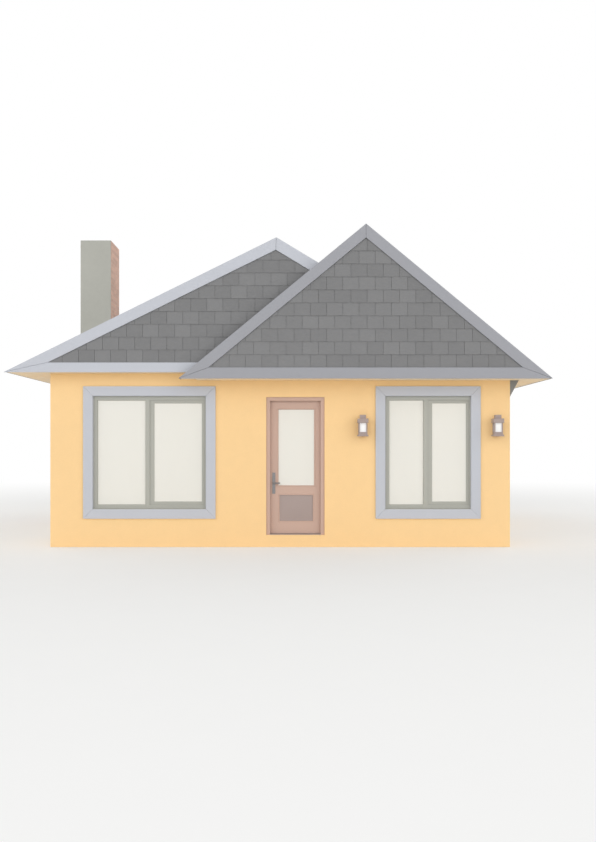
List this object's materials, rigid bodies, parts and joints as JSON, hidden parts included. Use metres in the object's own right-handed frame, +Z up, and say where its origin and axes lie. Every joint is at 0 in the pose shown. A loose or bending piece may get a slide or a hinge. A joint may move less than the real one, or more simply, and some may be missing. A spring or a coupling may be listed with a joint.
{
  "type": "detached house",
  "caption": "One-storey house with rendered walls under a wide low gabled roof and a steeper one beside it, slate-clad boxed gables, an outside chimney stack and a part-glazed front door.",
  "frame": {"origin": "on the ground, at the middle of the outer walls", "axes": "+Z up, +X to the right seen from the front, the front faces -Y"},
  "size_m": [8.5097, 9.8, 5.92],
  "materials": {
    "wall_render": "fine render",
    "concrete": "smooth concrete",
    "plaster": "smooth plaster",
    "slate": "split slate",
    "pale_boards": "painted boards",
    "grey_boards": "painted boards",
    "valley_metal": "dull sheet metal",
    "bracket_paint": "painted timber",
    "chimney_brick": "brick",
    "chimney_coat": "smooth render",
    "window_paint": "painted timber",
    "pane": "obscured glass",
    "door_paint": "painted timber",
    "door_panel": "painted timber",
    "fittings": "satin metal",
    "lamp_metal": "satin paint",
    "lamp_glass": "opal glass"
  },
  "bodies": {
    "house": {"floor_slab": "concrete", "front_wall_left": "wall_render", "front_wall_right": "wall_render", "front_wall_over_door": "wall_render", "front_wall_under_door": "wall_render", "left_wall": "wall_render", "right_wall": "wall_render", "rear_wall": "wall_render", "ceiling": "plaster", "left_roof_left_slope": "slate", "left_roof_right_slope": "slate", "right_roof_left_slope": "slate", "right_roof_right_slope": "slate", "left_gable_faces": "slate", "right_gable_faces": "slate", "left_gable_bargeboards": "pale_boards", "left_gable_base_boards": "pale_boards", "right_gable_bargeboards": "grey_boards", "right_gable_base_boards": "grey_boards", "ridge_caps": "slate", "valley_lining": "valley_metal", "side_soffits": "pale_boards", "gable_soffits": "pale_boards", "eave_brackets": "bracket_paint", "chimney_stack": "chimney_brick", "chimney_coat": "chimney_coat", "front_window_trims": "pale_boards", "front_window_frames": "window_paint", "front_window_sashes": "window_paint", "side_window_trims": "pale_boards", "side_window_frames": "window_paint", "side_window_sashes": "window_paint", "window_panes": "pane", "door_frame": "door_paint", "door_threshold": "door_panel", "door_hinge_posts": "fittings", "wall_lamps": "lamp_metal", "lamp_glasses": "lamp_glass"},
    "door": {"door_leaf": "door_paint", "door_glass": "pane", "door_lower_panel": "door_panel", "door_hinge_sleeves": "fittings", "door_handle_plates": "fittings"},
    "lever": {"door_lever": "fittings"}
  },
  "joints": [
    {"name": "door_swing", "type": "hinge", "parent": "house", "child": "door", "pos_m": [0.6555, -4.358, 1.25], "axis": [0, 0, -1], "range_deg": [0, 90]},
    {"name": "lever_turn", "type": "hinge", "parent": "door", "child": "lever", "pos_m": [-0.102, -4.395, 1.01], "axis": [0, 1, 0], "range_deg": [0, 45], "stiffness_Nm_per_rad": 2, "springref_deg": -45.84}
  ]
}
